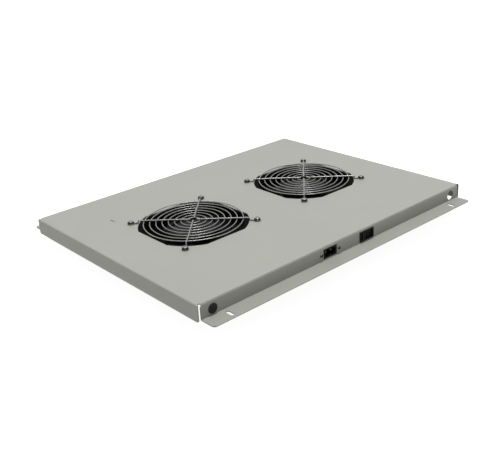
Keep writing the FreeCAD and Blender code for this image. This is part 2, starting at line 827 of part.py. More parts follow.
def make_rotor_cup(side):
    """Deep-drawn steel rotor cup with the boss that holds the shaft."""
    body = new_body(f"rotor_cup_{side}", (FAN_X[side], FAN_Y, "0"))
    profile = new_sketch(body, "profile", "XZ_Plane")
    inner = "rotor_radius - rotor_wall"
    under = "rotor_top - rotor_wall"
    boss_foot = "upper_bearing_foot + bearing_height + axial_play"
    outline(profile, [
        ("0", under), ("shaft_radius", under), ("shaft_radius", boss_foot),
        ("rotor_boss_radius", boss_foot), ("rotor_boss_radius", under), (inner, under),
        (inner, "rotor_foot"), ("rotor_radius", "rotor_foot"), ("rotor_radius", "rotor_top"),
        ("0", "rotor_top"),
    ])
    turned(body, profile)
    names = round_edges(body, "rotor_radius", "rotor_top")
    dress(body, "PartDesign::Fillet", names, "rotor_corner")
    return body


def blade_section(body, name, plane_x, half_chord, foot, rise, sweep):
    """Cambered blade section across a plane at a distance from the axis."""
    section = new_sketch(body, name, "YZ_Plane", plane_x)
    low_y = f"({sweep} - {half_chord})"
    high_y = f"({sweep} + {half_chord})"
    low_z = foot
    high_z = f"({foot} + {rise})"
    chord = f"sqrt(4 * {half_chord} ^ 2 + {rise} ^ 2)"
    normal_y = f"({rise} / {chord})"
    normal_z = f"(2 * {half_chord} / {chord})"
    half = "(blade_thickness / 2)"
    middle_z = f"({foot} + {rise} / 2)"
    radius = f"(({chord} ^ 2 / 4 + blade_camber ^ 2) / (2 * blade_camber))"
    lever = f"({radius} - blade_camber)"
    centre = (f"({sweep} + {lever} * {normal_y})", f"({middle_z} - {lever} * {normal_z})")
    nose = f"({half} * {normal_y})"
    lift = f"({half} * {normal_z})"
    points = [
        (f"({low_y} + {nose})", f"({low_z} - {lift})"),
        (f"({high_y} + {nose})", f"({high_z} - {lift})"),
        (f"({high_y} - {nose})", f"({high_z} + {lift})"),
        (f"({low_y} - {nose})", f"({low_z} + {lift})"),
    ]
    under = (f"({centre[0]} + {nose})", f"({centre[1]} - {lift})")
    over = (f"({centre[0]} - {nose})", f"({centre[1]} + {lift})")
    outline(section, points, {0: under, 2: over})
    return section


def make_impeller(side):
    """Impeller: a ring hub pressed over the rotor cup, with lofted, twisted blades."""
    body = new_body(f"impeller_{side}", (FAN_X[side], FAN_Y, "0"))
    hub_top = "(rotor_top + hub_lip_height)"
    drum = new_sketch(body, "drum", lift="hub_foot")
    circle(drum, "0", "0", HUB_RADIUS)
    pad(body, drum, f"{hub_top} - hub_foot")

    root = blade_section(
        body, "blade_root", "blade_root_x", "blade_root_half_chord",
        "blade_root_foot", "blade_root_rise", "0")
    tip = blade_section(
        body, "blade_tip", "blade_tip_x", "blade_tip_half_chord",
        "blade_tip_foot", "blade_tip_rise", "blade_sweep")
    blade = body.newObject("PartDesign::AdditiveLoft", f"{body.Name}_blade")
    blade.Profile = root
    blade.Sections = [tip]
    blade.Ruled = True
    around(body, [blade], "blade_count")

    trim = new_sketch(body, "blade_trim", "XZ_Plane")
    far = "(2 * bore_radius)"
    low, high = "-fan_depth", "2 * fan_depth"
    outline(trim, [(BLADE_TIP, low), (far, low), (far, high), (BLADE_TIP, high)])
    turned(body, trim, "PartDesign::Groove")

    hollow = new_sketch(body, "hub_hollow", "XZ_Plane")
    eye = "(rotor_radius - hub_lip)"
    outline(hollow, [
        ("0", low), ("rotor_radius", low), ("rotor_radius", "rotor_top"), (eye, "rotor_top"),
        (eye, high), ("0", high),
    ])
    turned(body, hollow, "PartDesign::Groove")
    return body


# ---------------------------------------------------------------- finger guard and fasteners


def make_guard(side):
    """Wire finger guard: welded rings, four spokes bent down to eyelets on the plate."""
    body = new_body(f"fan_guard_{side}", (FAN_X[side], FAN_Y, PLATE_TOP), 45.0)
    rings = new_sketch(body, "rings", "XZ_Plane")
    for number in range(int(SIZES["ring_count"])):
        circle(rings, f"ring_inner + {number} * ring_pitch", "ring_lift", "ring_wire_radius")
    turned(body, rings)
    path = new_sketch(body, "spoke_path", "XZ_Plane")
    rest = "spoke_wire_radius"
    bend_out = "(spoke_bend_radius + spoke_bend_run)"
    eye = HOLE_CIRCLE
    stops = [
        ("ring_inner - ring_wire_radius", SPOKE_PLANE), ("spoke_bend_radius", SPOKE_PLANE),
        (bend_out, rest), (f"{eye} - eyelet_radius", rest),
    ]
    spots = [Vector(value(size(x)), value(size(y)), 0) for x, y in stops]
    for number in range(3):
        line = path.addGeometry(Part.LineSegment(spots[number], spots[number + 1]))
        if number:
            path.addConstraint(Sketcher.Constraint("Coincident", line - 1, 2, line, 1))
        pin(path, line, 1, *stops[number])
    pin(path, 2, 2, *stops[3])
    wire = new_sketch(body, "spoke_wire", "YZ_Plane", stops[0][0])
    circle(wire, "0", SPOKE_PLANE, "spoke_wire_radius")
    spoke = body.newObject("PartDesign::AdditivePipe", f"{body.Name}_spoke")
    spoke.Profile = wire
    spoke.Spine = (path, ["Edge1", "Edge2", "Edge3"])
    spoke.Transition = "Round corner"

    ring = new_sketch(body, "eyelet", "XZ_Plane")
    circle(ring, f"{eye} + eyelet_radius", rest, "spoke_wire_radius")
    axis = ring.addGeometry(Part.LineSegment(Vector(0, 0, 0), Vector(0, 1, 0)), True)
    pin(ring, axis, 1, eye, "0")
    pin(ring, axis, 2, eye, rest)
    eyelet = body.newObject("PartDesign::Revolution", f"{body.Name}_eyelet_turned")
    eyelet.Profile = ring
    eyelet.ReferenceAxis = (ring, ["Axis0"])
    eyelet.Angle = 360
    around(body, [spoke, eyelet], "4")
    return body


def make_screw(body, name, x, y, lengths):
    """Screw whose shank runs down and whose plain head stands up from the body's Z = 0."""
    radius, head_radius, head_height, length = lengths
    shank = new_sketch(body, f"{name}_shank")
    circle(shank, x, y, radius)
    pad(body, shank, length, reverse=True)
    head = new_sketch(body, f"{name}_head")
    circle(head, x, y, head_radius)
    pad(body, head, head_height)


def finish_heads(body, spots, lengths, rounding):
    """Round the rims of a body's screw heads and sink a cross drive into each."""
    head_radius, head_height = lengths[1:3]
    dress(body, "PartDesign::Fillet", round_edges(body, head_radius, head_height), rounding)
    for name, width, height in (
        ("drive_a", "drive_length", "drive_width"), ("drive_b", "drive_width", "drive_length"),
    ):
        drive = new_sketch(body, name, lift=head_height)
        for x, y in spots:
            rectangle(drive, x, y, width, height)
        pocket(body, drive, "drive_depth")


def make_fan_screws(side):
    """Four screws through the guard's eyelets, the plate and the fan's upper flange."""
    seat = f"({PLATE_TOP} + 2 * spoke_wire_radius)"
    body = new_body(f"guard_screws_{side}", (FAN_X[side], FAN_Y, seat))
    lengths = ("fan_screw_radius", "fan_screw_head_radius", "fan_screw_head_height", "fan_screw_length")
    spots = four_corners(HOLE, HOLE)
    for number, (x, y) in enumerate(spots):
        make_screw(body, f"screw_{number}", x, y, lengths)
    finish_heads(body, spots, lengths, "fan_screw_head_round")
    return body


def hexagon(sketch, x, y, flats):
    """Hexagon about a centre, measured across its flats."""
    corner = f"({flats} / sqrt(3))"
    step = f"({flats} / 2)"
    points = [
        (f"({x} + {corner})", y), (f"({x} + {corner} / 2)", f"({y} + {step})"),
        (f"({x} - {corner} / 2)", f"({y} + {step})"), (f"({x} - {corner})", y),
        (f"({x} - {corner} / 2)", f"({y} - {step})"), (f"({x} + {corner} / 2)", f"({y} - {step})"),
    ]
    outline(sketch, points)


def make_fan_nuts(side):
    """Four nuts under the fan's upper flange."""
    seat = "fan_depth - fan_flange - fan_nut_height"
    body = new_body(f"guard_nuts_{side}", (FAN_X[side], FAN_Y, seat))
    nuts = new_sketch(body, "nuts")
    for x, y in four_corners(HOLE, HOLE):
        hexagon(nuts, x, y, "fan_nut_flats")
        circle(nuts, x, y, "fan_screw_radius")
    pad(body, nuts, "fan_nut_height")
    return body


# ---------------------------------------------------------------- mains inlet

# Pieces of the front wall are drawn in its own plane: their sketches lie on XZ at the
# wall's outer face, and a lift is measured outwards from that face.
FRONT_Y = f"(-1 * {WALL_FACE})"


def front_body(label, x, z):
    """Body whose origin lies on the outer face of the front wall."""
    return new_body(label, (x, FRONT_Y, z))


def make_inlet_housing():
    """Moulded two-pole inlet: flange behind the wall, face in the window, figure-8 socket."""
    body = front_body("inlet_housing", "inlet_x", CONNECTOR_Z)
    flange = new_sketch(body, "flange", "XZ_Plane", "(-sheet_thickness)")
    rectangle(flange, "0", "0", "inlet_flange_width", "inlet_flange_height")
    pad(body, flange, "inlet_flange_thickness", reverse=True)
    case = new_sketch(body, "case", "XZ_Plane")
    width = "inlet_window_width - 2 * inlet_fit"
    height = "window_height - 2 * inlet_fit"
    rectangle(case, "0", "0", width, height)
    pad(body, case, "inlet_depth", reverse=True)
    holes = new_sketch(body, "screw_holes", "XZ_Plane")
    for sign in (-1, 1):
        circle(holes, f"({sign} * inlet_screw_pitch / 2)", "0", "inlet_screw_radius + screw_clearance")
    pocket(body, holes)
    socket = new_sketch(body, "socket", "XZ_Plane")
    reach = "(socket_pitch / 2)"
    step = "sqrt(socket_radius ^ 2 - socket_waist ^ 2)"
    inner = f"({reach} - {step})"
    points = [
        (f"(-1 * {inner})", "(-socket_waist)"), (inner, "(-socket_waist)"),
        (reach, "(-socket_radius)"), (reach, "socket_radius"),
        (inner, "socket_waist"), (f"(-1 * {inner})", "socket_waist"),
        (f"(-1 * {reach})", "socket_radius"), (f"(-1 * {reach})", "(-socket_radius)"),
    ]
    far = (f"(-1 * {reach})", "0")
    middle = (reach, "0")
    outline(socket, points, {1: middle, 2: middle, 3: middle, 5: far, 6: far, 7: far})
    pocket(body, socket, "socket_depth")
    tabs = new_sketch(body, "pin_holes", "XZ_Plane")
    for sign in (-1, 1):
        circle(tabs, f"({sign} * socket_pitch / 2)", "0", "pin_radius")
    pocket(body, tabs)
    return body


def make_inlet_pins():
    """Two contact pins that end in solder tabs behind the housing."""
    body = front_body("inlet_pins", "inlet_x", CONNECTOR_Z)
    pins = new_sketch(body, "pins", "XZ_Plane", "(-(socket_depth - pin_length))")
    for sign in (-1, 1):
        circle(pins, f"({sign} * socket_pitch / 2)", "0", "pin_radius")
    pad(body, pins, "inlet_depth - socket_depth + pin_length", reverse=True)
    tabs = new_sketch(body, "tabs", "XZ_Plane", "(-inlet_depth)")
    for sign in (-1, 1):
        rectangle(tabs, f"({sign} * socket_pitch / 2)", "0", "tab_thickness", "tab_width")
    pad(body, tabs, "tab_length", reverse=True)
    return body


def make_inlet_screws():
    """Two screws through the wall and the inlet's flange."""
    body = new_body("inlet_screws", ("inlet_x", FRONT_Y, CONNECTOR_Z))
    body.Placement = FreeCAD.Placement(body.Placement.Base, FreeCAD.Rotation(Vector(1, 0, 0), 90))
    lengths = (
        "inlet_screw_radius", "inlet_screw_head_radius",
        "inlet_screw_head_height", "inlet_screw_length",
    )
    spots = [(f"({sign} * inlet_screw_pitch / 2)", "0") for sign in (-1, 1)]
    for number, (x, y) in enumerate(spots):
        make_screw(body, f"screw_{number}", x, y, lengths)
    finish_heads(body, spots, lengths, "inlet_screw_head_round")
    return body


def make_inlet_nuts():
    """Two nuts behind the inlet's flange."""
    body = front_body("inlet_nuts", "inlet_x", CONNECTOR_Z)
    seat = "(-(sheet_thickness + inlet_flange_thickness))"
    nuts = new_sketch(body, "nuts", "XZ_Plane", seat)
    for sign in (-1, 1):
        x = f"({sign} * inlet_screw_pitch / 2)"
        hexagon(nuts, x, "0", "inlet_nut_flats")
        circle(nuts, x, "0", "inlet_screw_radius")
    pad(body, nuts, "inlet_nut_height", reverse=True)
    return body


# ---------------------------------------------------------------- rocker switch

CAVITY_HALF = "(rocker_end_radius + rocker_gap)"
ROCKER_HALF_HEIGHT = "(switch_window_height / 2 - switch_fit - switch_wall - rocker_gap)"
PIVOT_LIFT = "(bezel_thickness - pivot_drop)"


def make_switch_housing():
    """Snap-in switch case with its bezel, rocker well, pivot holes and side clips."""
    body = front_body("switch_housing", "switch_x", CONNECTOR_Z)
    bezel = new_sketch(body, "bezel", "XZ_Plane")
    rectangle(bezel, "0", "0", "bezel_width", "bezel_height")
    pad(body, bezel, "bezel_thickness")
    case = new_sketch(body, "case", "XZ_Plane")
    width = "switch_window_width - 2 * switch_fit"
    height = "switch_window_height - 2 * switch_fit"
    rectangle(case, "0", "0", width, height)
    pad(body, case, "switch_depth", reverse=True)
    well = new_sketch(body, "well", "XZ_Plane", "bezel_thickness")
    well_height = f"2 * ({ROCKER_HALF_HEIGHT} + rocker_gap)"
    rectangle(well, "0", "0", f"2 * {CAVITY_HALF}", well_height)
    pocket(body, well, "rocker_cavity_depth")
    holes = new_sketch(body, "pivot_holes", "XY_Plane")
    circle(holes, "0", f"(-1 * {PIVOT_LIFT})", "pivot_radius + pivot_clearance")
    pocket(body, holes, "2 * bezel_height", midplane=True)
    clips = new_sketch(body, "clips", "XY_Plane")
    side = "(switch_window_width / 2 - switch_fit)"
    foot = "(sheet_thickness + switch_fit)"
    for sign in ("1", "-1"):
        outline(clips, [
            (f"({sign} * ({side} - switch_wall / 2))", foot),
            (f"({sign} * ({side} + switch_clip))", foot),
            (f"({sign} * ({side} - switch_wall / 2))", f"({foot} + switch_clip_length)"),
        ])
    pad(body, clips, "switch_clip_height", midplane=True)
    return body


def make_switch_terminals():
    """Two flat tabs behind the switch."""
    body = front_body("switch_terminals", "switch_x", CONNECTOR_Z)
    tabs = new_sketch(body, "tabs", "XZ_Plane", "(-switch_depth)")
    for sign in (-1, 1):
        tab_x = f"({sign} * switch_tab_pitch / 2)"
        rectangle(tabs, tab_x, "0", "tab_thickness", "switch_tab_width")
    pad(body, tabs, "tab_length", reverse=True)
    return body


def make_rocker():
    """Rocker with round ends about its pivot and a shallow valley across its face."""
    pivot_y = f"(-1 * {WALL_FACE} - {PIVOT_LIFT})"
    body = new_body("rocker", ("switch_x", pivot_y, CONNECTOR_Z))
    body.setExpression("Placement.Rotation.Angle", size("rocker_tilt"))
    profile = new_sketch(body, "profile")
    end = "sqrt(rocker_end_radius ^ 2 - rocker_rise ^ 2)"
    skirt = "sqrt(rocker_end_radius ^ 2 - rocker_skirt ^ 2)"
    points = [
        ("0", "(-(rocker_rise - rocker_dip))"), (end, "(-rocker_rise)"), (skirt, "rocker_skirt"),
        ("rocker_keel", "rocker_keel"), ("(-rocker_keel)", "rocker_keel"),
        (f"(-1 * {skirt})", "rocker_skirt"), (f"(-1 * {end})", "(-rocker_rise)"),
    ]
    outline(profile, points, {1: ("0", "0"), 5: ("0", "0")})
    pad(body, profile, f"2 * {ROCKER_HALF_HEIGHT}", midplane=True)
    pins = new_sketch(body, "pivot_pins")
    circle(pins, "0", "0", "pivot_radius")
    pad(body, pins, f"2 * ({ROCKER_HALF_HEIGHT} + rocker_gap + pivot_reach)", midplane=True)
    return body


# ---------------------------------------------------------------- blanking plug


def make_plug():
    """Snap-in blanking plug that closes the left cable hole."""
    place = (f"(-1 * {CABLE_HOLE_X})", FRONT_Y, CABLE_HOLE_Z)
    body = new_body("hole_plug", place)
    body.Placement = FreeCAD.Placement(body.Placement.Base, FreeCAD.Rotation(Vector(1, 0, 0), 90))
    profile = new_sketch(body, "profile", "XZ_Plane")
    neck = "(plug_hole_radius - plug_fit)"
    back = "(-sheet_thickness - plug_fit)"
    lip = "(plug_hole_radius + plug_lip)"
    hollow = f"({neck} - plug_wall)"
    outline(profile, [
        ("0", "(-plug_skin)"), (hollow, "(-plug_skin)"),
        (hollow, "(-plug_length)"), (neck, "(-plug_length)"), (lip, f"({back} - plug_lip)"),
        (neck, back), (neck, "0"), ("plug_head_radius", "0"),
        ("plug_head_radius", "plug_head_height - plug_head_chamfer"),
        ("plug_head_radius - plug_head_chamfer", "plug_head_height"),
        ("0", "plug_head_height"),
    ])
    turned(body, profile)
    return body


# ---------------------------------------------------------------- build and export


def build_all():
    """Every piece of the tray."""
    pieces = [
        make_pan(), make_inlet_housing(), make_inlet_pins(), make_inlet_screws(),
        make_inlet_nuts(), make_switch_housing(), make_switch_terminals(), make_rocker(),
        make_plug(),
    ]
    makers = (
        make_fan_frame, make_motor_bracket, make_bracket_rivets, make_terminals, make_bearings,
        make_bearing_cap, make_core, make_windings, make_shaft, make_clip, make_rotor_cup,
        make_impeller, make_guard, make_fan_screws, make_fan_nuts,
    )
    for side in FAN_X:
        pieces += [maker(side) for maker in makers]
    return pieces


pieces = build_all()
doc.recompute()
for item in doc.Objects:
    if {"Invalid", "Error"} & set(item.State):
        raise RuntimeError(f"{item.Name} failed: {item.State}")
os.makedirs("parts", exist_ok=True)
for piece in pieces:
    if piece.Shape.isNull() or not piece.Shape.isValid():
        raise RuntimeError(f"{piece.Label} has no valid shape")
    piece.Shape.exportStep(f"parts/{piece.Label}.step")
    print(piece.Label, len(piece.Shape.Solids), round(piece.Shape.Volume, 1))
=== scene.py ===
"""Looks of the rack fan tray: camera, light, floor and a procedural finish for every piece.

Lengths are in metres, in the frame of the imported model.
"""
import json
import math

import bpy
from mathutils import Matrix, Vector


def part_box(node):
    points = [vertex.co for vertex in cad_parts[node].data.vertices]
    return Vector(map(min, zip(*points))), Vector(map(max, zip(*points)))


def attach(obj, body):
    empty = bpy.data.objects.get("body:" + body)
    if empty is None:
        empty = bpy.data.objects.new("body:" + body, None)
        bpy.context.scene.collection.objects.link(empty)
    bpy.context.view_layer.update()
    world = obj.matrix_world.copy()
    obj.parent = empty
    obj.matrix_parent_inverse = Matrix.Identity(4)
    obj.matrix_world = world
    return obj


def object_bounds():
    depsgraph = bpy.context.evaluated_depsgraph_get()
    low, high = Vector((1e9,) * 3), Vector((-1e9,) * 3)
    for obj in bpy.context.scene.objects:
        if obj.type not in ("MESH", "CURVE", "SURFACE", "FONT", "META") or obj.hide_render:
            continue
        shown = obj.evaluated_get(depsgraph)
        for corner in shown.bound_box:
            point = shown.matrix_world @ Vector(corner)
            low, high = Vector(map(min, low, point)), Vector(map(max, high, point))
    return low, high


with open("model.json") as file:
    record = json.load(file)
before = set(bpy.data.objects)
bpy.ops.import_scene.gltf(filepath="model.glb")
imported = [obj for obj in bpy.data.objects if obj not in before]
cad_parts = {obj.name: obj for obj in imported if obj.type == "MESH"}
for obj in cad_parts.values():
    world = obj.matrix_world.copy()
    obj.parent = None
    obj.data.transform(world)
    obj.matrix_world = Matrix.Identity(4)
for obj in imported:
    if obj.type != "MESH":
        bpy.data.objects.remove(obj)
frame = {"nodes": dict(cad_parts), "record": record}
cad_low, cad_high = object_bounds()
nodes = frame["nodes"]

# ---------------------------------------------------------------- places

SIDES = ("left", "right")
CORNERS = ((1, 1), (1, -1), (-1, 1), (-1, -1))
PLATE_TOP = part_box("tray_pan")[1].z
# The flanges' upper face lies this far below the plate's top.
WALL_DROP = 0.0164
LEDGE = PLATE_TOP - WALL_DROP
WALL_FACE = -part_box("inlet_housing")[0].y
FLANGE_TIP = cad_high.y
# Half the pitch of a 120 mm fan's screw holes.
HALF_PITCH = 0.0525
# A spoke's cut end runs inwards from the smallest ring.
SPOKE_RADIUS = 0.0008
SPOKE_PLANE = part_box("fan_guard_left")[1].z - SPOKE_RADIUS
SPOKE_START, SPOKE_STUB = 0.0072, 0.0034

# ---------------------------------------------------------------- camera

AZIMUTH, ELEVATION, ROLL = -40.45, 23.43, -3.445
AIM = Vector((-0.0505, -0.05313, PLATE_TOP))
DISTANCE = 0.87635
LENS, SENSOR = 55.17, 36.0
CLIP_START, CLIP_END = 0.01, 20


def make_camera():
    """Camera that looks at AIM from a direction given by azimuth, elevation and roll."""
    azimuth, elevation, roll = (math.radians(angle) for angle in (AZIMUTH, ELEVATION, ROLL))
    back = Vector((
        math.sin(azimuth) * math.cos(elevation),
        -math.cos(azimuth) * math.cos(elevation),
        math.sin(elevation),
    ))
    level = Vector((0, 0, 1)).cross(back).normalized()
    upright = back.cross(level)
    right = math.cos(roll) * level + math.sin(roll) * upright
    up = math.cos(roll) * upright - math.sin(roll) * level
    data = bpy.data.cameras.new("camera")
    data.sensor_width = SENSOR
    data.lens = LENS
    data.clip_start = CLIP_START
    data.clip_end = CLIP_END
    camera = bpy.data.objects.new("camera", data)
    turn = Matrix((right, up, back)).transposed().to_4x4()
    camera.matrix_world = Matrix.Translation(AIM + back * DISTANCE) @ turn
    bpy.context.scene.collection.objects.link(camera)
    bpy.context.scene.camera = camera


make_camera()

# ---------------------------------------------------------------- shader helpers

# Most of a noise factor lies in this band.
DRIFT = (0.3, 0.7)


def new_material(name):
    """Material with its node tree and its Principled shader."""
    material = bpy.data.materials.new(name)
    material.use_nodes = True
    tree = material.node_tree
    return material, tree, tree.nodes["Principled BSDF"]


def add(tree, kind, **inputs):
    """Node of a kind with some of its inputs set."""
    node = tree.nodes.new(kind)
    for key, number in inputs.items():
        node.inputs[key.replace("_", " ")].default_value = number
    return node


def object_point(tree, scale=(1.0, 1.0, 1.0)):
    """Object coordinates, stretched by a scale."""
    source = tree.nodes.new("ShaderNodeTexCoord")
    stretch = tree.nodes.new("ShaderNodeMapping")
    stretch.inputs["Scale"].default_value = scale
    tree.links.new(source.outputs["Object"], stretch.inputs["Vector"])
    return stretch.outputs["Vector"]


def noise(tree, point, scale, detail=2.0, rough=0.5):
    """Noise factor at a point."""
    node = add(tree, "ShaderNodeTexNoise", Scale=scale, Detail=detail, Roughness=rough)
    tree.links.new(point, node.inputs["Vector"])
    return node.outputs["Fac"]


def between(tree, value, start, end, low, high):
    """Number that goes from low to high, and stays there, as a value goes from start to end."""
    node = add(
        tree, "ShaderNodeMapRange", From_Min=start, From_Max=end, To_Min=low, To_Max=high)
    tree.links.new(value, node.inputs["Value"])
    return node.outputs["Result"]


def blended(tree, factor, first, second):
    """First number where the factor is 0, second where it is 1."""
    node = tree.nodes.new("ShaderNodeMix")
    tree.links.new(factor, node.inputs["Factor"])
    for name, source in (("A", first), ("B", second)):
        if isinstance(source, float):
            node.inputs[name].default_value = source
        else:
            tree.links.new(source, node.inputs[name])
    return node.outputs["Result"]


def combined(tree, operation, first, second):
    """Two numbers put together by an operation of the Math node."""
    node = tree.nodes.new("ShaderNodeMath")
    node.operation = operation
    tree.links.new(first, node.inputs[0])
    tree.links.new(second, node.inputs[1])
    return node.outputs[0]


def coordinates(tree):
    """Object coordinates as separate X, Y and Z, and the distance of Y from the middle plane."""
    place = tree.nodes.new("ShaderNodeSeparateXYZ")
    tree.links.new(object_point(tree), place.inputs[0])
    out = tree.nodes.new("ShaderNodeMath")
    out.operation = "ABSOLUTE"
    tree.links.new(place.outputs["Y"], out.inputs[0])
    return place.outputs["X"], place.outputs["Y"], place.outputs["Z"], out.outputs[0]


def ramp(tree, factor, stops):
    """Colour ramp through (position, colour) stops."""
    node = tree.nodes.new("ShaderNodeValToRGB")
    first, last = node.color_ramp.elements
    first.position, first.color = stops[0][0], (*stops[0][1], 1)
    last.position, last.color = stops[-1][0], (*stops[-1][1], 1)
    for position, colour in stops[1:-1]:
        node.color_ramp.elements.new(position).color = (*colour, 1)
    tree.links.new(factor, node.inputs["Fac"])
    return node.outputs["Color"]


def shades(colour, spread):
    """Darker and lighter neighbour of a colour."""
    return [tuple(channel * (1 + sign * spread) for channel in colour) for sign in (-1, 1)]


def varied(tree, shader, factor, colour, spread, shade=None):
    """Base colour that drifts about a colour, multiplied by a painted light and shade where one
    is given.
    """
    dark, light = shades(colour, spread)
    drift = ramp(tree, factor, [(DRIFT[0], dark), (DRIFT[1], light)])
    # A given shade paints light and shade into the colour.
    if shade:
        shaded = tree.nodes.new("ShaderNodeVectorMath")
        shaded.operation = "SCALE"
        tree.links.new(drift, shaded.inputs[0])
        tree.links.new(shade(tree), shaded.inputs["Scale"])
        drift = shaded.outputs[0]
    tree.links.new(drift, shader.inputs["Base Color"])


def roughness_range(tree, shader, factor, low, high):
    """Roughness that drifts between two values."""
    tree.links.new(between(tree, factor, *DRIFT, low, high), shader.inputs["Roughness"])


def bump(tree, shader, height, strength, distance):
    """Bump from a height."""
    node = add(tree, "ShaderNodeBump", Strength=strength, Distance=distance)
    tree.links.new(height, node.inputs["Height"])
    tree.links.new(node.outputs["Normal"], shader.inputs["Normal"])


# ---------------------------------------------------------------- finishes

# Painted light and shade: factors that multiply a finish's colour at some places.
# Painted shade at the long walls' foot, on the flanges and in a corner slit; painted light on the
# cut rims.
WALL_FOOT_PAINTED_SHADE, FLANGE_PAINTED_SHADE, RIM_PAINTED_LIGHT, SLIT_PAINTED_SHADE = 0.7, 0.87, 1.2, 0.2
# Painted shade on the guards' wire in the eyelets.
EYELET_PAINTED_SHADE = 0.35
# Painted highlights on the guards' screws' crowns and drives, painted shade on their rims.
SCREW_DRIVE_PAINTED_LIGHT, SCREW_CROWN_PAINTED_HIGHLIGHT, SCREW_RIM_PAINTED_SHADE = 3.0, 1.3, 0.12
# Painted shade keeps the inlet's screws' drives dark; their rims are this many times lighter.
INLET_SCREW_RIM_OVER_PAINTED_SHADE = 9.0


def fold_painted_light_and_shade(tree):
    """Painted shade, deeper towards the foot of the long walls, on the flanges and in a corner
    slit, and painted light on the cut rims.
    """
    along, across, height, out = coordinates(tree)
    wall = between(tree, height, LEDGE, PLATE_TOP, WALL_FOOT_PAINTED_SHADE, 1.0)
    rim = between(
        tree, out, FLANGE_TIP - 0.0004, FLANGE_TIP - 0.0002, FLANGE_PAINTED_SHADE, RIM_PAINTED_LIGHT)
    flange = between(tree, out, WALL_FACE + 0.0003, WALL_FACE + 0.0008, 0.0, 1.0)
    outside = between(tree, out, WALL_FACE - 0.0006, WALL_FACE - 0.0004, 0.0, 1.0)
    # Painted shade in the slit at the front corner of the high-x end.
    end = between(tree, along, cad_high.x - 0.0018, cad_high.x - 0.0016, 0.0, 1.0)
    front = between(tree, across, 0.002 - WALL_FACE, 0.0024 - WALL_FACE, 1.0, 0.0)
    slit = combined(tree, "MULTIPLY", end, front)
    folds = blended(tree, outside, 1.0, blended(tree, flange, wall, rim))
    return blended(tree, slit, folds, SLIT_PAINTED_SHADE)


def centre_of(node):
    """Middle of a node's box."""
    low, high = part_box(node)
    return (low + high) / 2


def reach_from(tree, spots, flatten):
    """Distance from the nearest of some axes, which run along the direction kept at 0."""
    nearest = None
    for spot in spots:
        node = tree.nodes.new("ShaderNodeVectorMath")
        node.operation = "DISTANCE"
        tree.links.new(object_point(tree, flatten), node.inputs[0])
        node.inputs[1].default_value = [place * keep for place, keep in zip(spot, flatten)]
        reach = node.outputs["Value"]
        nearest = combined(tree, "MINIMUM", nearest, reach) if nearest else reach
    return nearest


def eyelet_painted_shade(tree):
    """Painted shade on the fan guards' wire in the eyelets, outside the fans' openings."""
    reach = reach_from(tree, [centre_of(f"fan_guard_{side}") for side in SIDES], (1, 1, 0))
    return between(tree, reach, 0.064, 0.067, 1.0, EYELET_PAINTED_SHADE)


def fan_screw_painted_light(tree):
    """Painted highlights on the guards' screws' crowns, brighter painted light in their drives
    and painted shade on their rims.
    """
    spots = [
        centre_of(f"fan_guard_{side}") + HALF_PITCH * Vector((right, back, 0))
        for side in SIDES for right, back in CORNERS
    ]
    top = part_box("guard_screws_left")[1].z
    height = coordinates(tree)[2]
    crown = between(
        tree, height, top - 0.0004, top - 0.0001, SCREW_DRIVE_PAINTED_LIGHT, SCREW_CROWN_PAINTED_HIGHLIGHT)
    rim = between(tree, reach_from(tree, spots, (1, 1, 0)), 0.0026, 0.0032, 0.0, 1.0)
    return blended(tree, rim, crown, SCREW_RIM_PAINTED_SHADE)


def inlet_screw_painted_shade(tree):
    """Dark drives painted as shade on the inlet's screws, and plain, lighter rims."""
    low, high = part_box("inlet_screws")
    radius = (high.z - low.z) / 2
    middle = (low + high) / 2
    spots = [Vector((x, middle.y, middle.z)) for x in (low.x + radius, high.x - radius)]
    reach = reach_from(tree, spots, (1, 0, 1))
    return between(tree, reach, 0.0011, 0.0015, 1.0, INLET_SCREW_RIM_OVER_PAINTED_SHADE)


def powder_coat(name, colour):
    """Fine orange-peel powder coat, with painted shade and painted light on the pan's walls,
    flanges, rims and corner slit.
    """
    material, tree, shader = new_material(name)
    point = object_point(tree)
    broad = noise(tree, point, 14, 3)
    peel = noise(tree, point, 900, 2)
    varied(tree, shader, broad, colour, 0.02, fold_painted_light_and_shade)
    roughness_range(tree, shader, peel, 0.48, 0.58)
    bump(tree, shader, peel, 0.12, 0.0002)
    shader.inputs["Specular IOR Level"].default_value = 0.4
    return material


def moulded_plastic(name, colour, rough_low, rough_high, grain=2600, gloss=0.2):
    """Moulded plastic with a fine spark-eroded grain."""
    material, tree, shader = new_material(name)
    point = object_point(tree)
    broad = noise(tree, point, 30, 3)
    fine = noise(tree, point, grain, 1)
    varied(tree, shader, broad, colour, 0.12)
    roughness_range(tree, shader, fine, rough_low, rough_high)
    bump(tree, shader, fine, 0.1, 0.0001)
    shader.inputs["Specular IOR Level"].default_value = gloss
    return material


def metal(name, colour, rough_low, rough_high, scale=700, shade=None):
    """Bare or plated metal with fine marks, and a painted light and shade where one is given."""
    material, tree, shader = new_material(name)
    broad = noise(tree, object_point(tree), 60, 2)
    marks = noise(tree, object_point(tree), scale, 3, 0.6)
    varied(tree, shader, broad, colour, 0.06, shade)
    roughness_range(tree, shader, marks, rough_low, rough_high)
    bump(tree, shader, marks, 0.05, 0.00005)
    shader.inputs["Metallic"].default_value = 1.0
    return material


def laminations(name, colour):
    """Stacked electrical steel: thin sheets across Z."""
    material, tree, shader = new_material(name)
    bands = add(tree, "ShaderNodeTexWave", Scale=320.0, Distortion=0.4)
    bands.bands_direction = "Z"
    tree.links.new(object_point(tree), bands.inputs["Vector"])
    dark, light = shades(colour, 0.25)
    sheets = ramp(tree, bands.outputs["Fac"], [(0.2, dark), (0.8, light)])
    tree.links.new(sheets, shader.inputs["Base Color"])
    roughness_range(tree, shader, bands.outputs["Fac"], 0.4, 0.6)
    bump(tree, shader, bands.outputs["Fac"], 0.3, 0.0001)
    shader.inputs["Metallic"].default_value = 0.8
    return material


